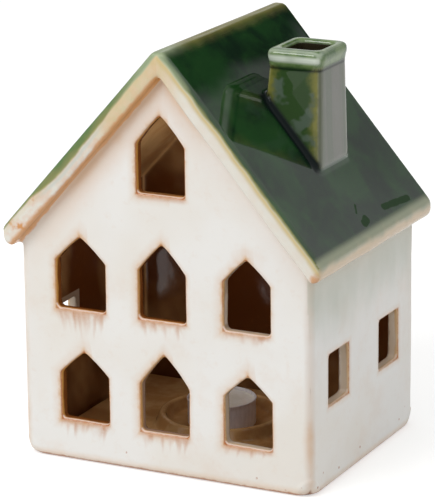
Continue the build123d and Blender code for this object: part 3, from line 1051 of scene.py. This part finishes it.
def waxOutline():
    r, foot, top, climb = (waxLook[key] for key in ("radius", "foot", "top", "climb"))
    outline = [(0, foot), (8, foot), (16, foot), (r - 0.4, foot + 0.2), (r, foot + 1), (r, 15), (r, top)]
    # the wax climbs up the cup and dips round the wick
    outline += [(r, top + climb), (r - 0.35, top + climb * 0.5), (r - 1.2, top), (14, top - 0.05)]
    return outline + [
        (9, top - 0.15), (4, top - 0.3), (1.8, top - waxLook["dip"] * 0.6), (1.0, top - 0.1), (0, top - 0.05)
    ]


def wickOutline():
    length = wickLook["tip"] - wickLook["foot"]
    steps = [wickLook["foot"] + length * row / wickLook["rows"] for row in range(wickLook["rows"] + 1)]
    side = [(wickLook["radius"], height) for height in steps]
    return [(0, wickLook["foot"]), *side, (0, wickLook["tip"] + 0.05)]


cup = spun(cupOutline(), cupLook["steps"])
for vert in cup.verts:
    x, y, z = vert.co / mm
    radius = math.hypot(x, y)
    if radius > cupLook["radius"] - 1 and plateTop + 1 < z < plateTop + cupLook["height"] - 1:
        hollow = 0.5 - 0.5 * math.cos(math.atan2(y, x) * cupLook["flutes"])
        vert.co.xy *= 1 - cupLook["fluteDepth"] * hollow / radius
cupMetal = makeMetalMaterial("cupMetal", tealightPaint["cup"], 0.5, 0.3)
pieceFromClay("tealightCup", cup, cupMetal, "tealight", "cup_metal", "tealight_cup")

wax = spun(waxOutline(), waxLook["steps"])
pieceFromClay("tealightWax", wax, makeWaxMaterial(), "tealight", "candle_wax", "tealight_wax")

wick = spun(wickOutline(), wickLook["steps"])
for vert in wick.verts:
    share = (vert.co.z / mm - wickLook["foot"]) / (wickLook["tip"] - wickLook["foot"])
    turn = math.atan2(vert.co.y, vert.co.x) * wickLook["strands"] + share * wickLook["turns"] * 2 * math.pi
    taper = max(0, share - wickLook["taperStart"]) / 0.07
    vert.co.xy *= 0.86 + 0.14 * abs(math.cos(turn / 2)) - 0.25 * taper
    vert.co.x += wickLook["lean"] * mm * max(0, share - wickLook["leanStart"]) ** 2 * 4
pieceFromClay("wick", wick, makeCottonMaterial(), "tealight", "wick_cotton", "wick")

steel = makeMetalMaterial("sustainerSteel", tealightPaint["steel"], 0.22, 1.0)
for materialSlot in nodes["wick_sustainer"].material_slots:
    materialSlot.material = steel
print("tealight made")

# Floor, lights and camera
studio = {
    "floorColor": asLight(222, 222, 221),
    "floorSize": 9.0,
    "floorGlow": 0.52,  # added for the camera and mirrored rays only, so that the floor shows white
    "skyFront": 0.64,
    "skyLeft": 0.80,
    "skyBack": 0.66,
    "skyRight": 0.88,
    "skyVeil": 0.37,  # the part of the back that the roof mirrors beside the dark panel
    "panel": 0.03,  # the dark panel behind the house, mirrored in the upper part of the roof
    "panelCorners": ((18.4, 23.9), (15.0, 20.5)),  # azimuth and elevation, on its lower right edge
    "panelInside": (10, 35),
}
keyLight = {"azimuth": -25, "elevation": 42, "distance": 1.8, "width": 1.15, "height": 0.6, "watts": 14.5}
fillLight = {"watts": 0.06, "radius": 0.03, "place": (0, 0, 0.15)}
view = {
    "lens": 207.84,
    "sensor": 36,
    "place": (0.68259, -1.35285, 0.540945),
    "rightward": (0.89369, 0.44857, -0.01069),
    "downward": (0.11393, -0.24988, -0.96155),
    "forward": (-0.43399, 0.85811, -0.27442),
}


def makeFloorMaterial():
    g = Glaze("floorPaint")
    path = g.node("ShaderNodeLightPath").outputs
    mirrored = g.most(path["Is Glossy Ray"], path["Is Transmission Ray"])
    glowArea = g.fade(g.sums("ADD", g.axis("Y"), g.times(g.axis("X"), -0.5)), -0.42, -0.24)
    glow = g.times(g.most(path["Is Camera Ray"], g.times(mirrored, glowArea)), studio["floorGlow"])
    g.feed(g.shader.inputs["Emission Color"], (1, 1, 1))
    g.feed(g.shader.inputs["Emission Strength"], glow)
    darker = tuple(0.98 * value for value in studio["floorColor"])
    return g.coat(g.mix(g.noise(0.4, 2.0), studio["floorColor"], darker), 0.9)


floorMesh = bpy.data.meshes.new("floor")
floorClay = bmesh.new()
bmesh.ops.create_grid(floorClay, x_segments=1, y_segments=1, size=studio["floorSize"])
floorClay.to_mesh(floorMesh)
floorClay.free()
floorMesh.materials.append(makeFloorMaterial())
floor = addObject("floor", floorMesh)

world = bpy.data.worlds.new("studio")
bpy.context.scene.world = world
world.use_nodes = True
air = Shading(world.node_tree)
lookedIn = air.node("ShaderNodeTexCoord").outputs["Generated"]


def leanStep(axis, low, high):
    # a soft step from 0 to 1 over how far the looked-in direction leans along an axis
    lean = air.node("ShaderNodeVectorMath", operation="DOT_PRODUCT")
    air.feed(lean.inputs[0], lookedIn)
    air.feed(lean.inputs[1], axis)
    return air.fade(lean.outputs["Value"], low, high)


def blend(part, first, second):
    made = air.node("ShaderNodeMix", data_type="FLOAT")
    for socket, value in zip((0, 2, 3), (part, first, second)):
        air.feed(made.inputs[socket], value)
    return made.outputs[0]


def toward(azimuth, elevation):
    # azimuth 0 looks to the back, 90 to the right
    a, e = math.radians(azimuth), math.radians(elevation)
    return Vector((math.sin(a) * math.cos(e), math.cos(a) * math.cos(e), math.sin(e)))


firstCorner, secondCorner = (toward(*corner) for corner in studio["panelCorners"])
panelEdge = firstCorner.cross(secondCorner).normalized()
if panelEdge.dot(toward(*studio["panelInside"])) < 0:
    panelEdge = -panelEdge
leftSide = leanStep((-0.96, 0.28, 0), 0.52, 0.40)
panel = air.times(leanStep(panelEdge, -0.004, 0.004), leftSide, leanStep(up, 0.86, 0.78))
behind = blend(leanStep(right, 0.285, 0.345), studio["skyVeil"], studio["skyBack"])
behind = blend(leanStep(right, -0.10, -0.30), behind, studio["skyLeft"])
behind = blend(panel, behind, studio["panel"])
sky = blend(leanStep(back, -0.1, 0.1), studio["skyFront"], behind)
sky = blend(leanStep(right, 0.42, 0.62), sky, studio["skyRight"])
seenDirectly = air.node("ShaderNodeLightPath").outputs["Is Camera Ray"]
shade = world.node_tree.nodes["Background"]
air.feed(shade.inputs["Strength"], blend(seenDirectly, sky, 1.0))
air.feed(shade.inputs["Color"], (1, 1, 1))

# a softbox in front of the house, on the left, that looks at its middle
keyLamp = bpy.data.lights.new("keyLamp", "AREA")
keyLamp.shape = "RECTANGLE"
keyLamp.size = keyLight["width"]
keyLamp.size_y = keyLight["height"]
keyLamp.energy = keyLight["watts"]
keyHolder = addObject("keyLamp", keyLamp)
away = toward(180 - keyLight["azimuth"], keyLight["elevation"])
keyHolder.location = Vector((0, 0, 0.1)) + away * keyLight["distance"]
keyHolder.rotation_mode = "QUATERNION"
keyHolder.rotation_quaternion = (-away).to_track_quat("-Z", "Y")

fill = bpy.data.lights.new("innerFill", "POINT")
fill.energy = fillLight["watts"]
fill.shadow_soft_size = fillLight["radius"]
fillHolder = addObject("innerFill", fill)
fillHolder.location = fillLight["place"]
fillHolder.visible_glossy = False  # so that no jamb mirrors it

camera = bpy.data.cameras.new("camera")
camera.lens = view["lens"]
camera.sensor_width = view["sensor"]
camera.clip_start = 0.01
camera.clip_end = 50
cameraHolder = addObject("camera", camera)
axes = (Vector(view["rightward"]), -Vector(view["downward"]), -Vector(view["forward"]))
cameraHolder.matrix_world = Matrix.Translation(view["place"]) @ Matrix(axes).transposed().to_4x4()
bpy.context.scene.camera = cameraHolder
bpy.context.scene.view_settings.view_transform = "Standard"
print("studio made")
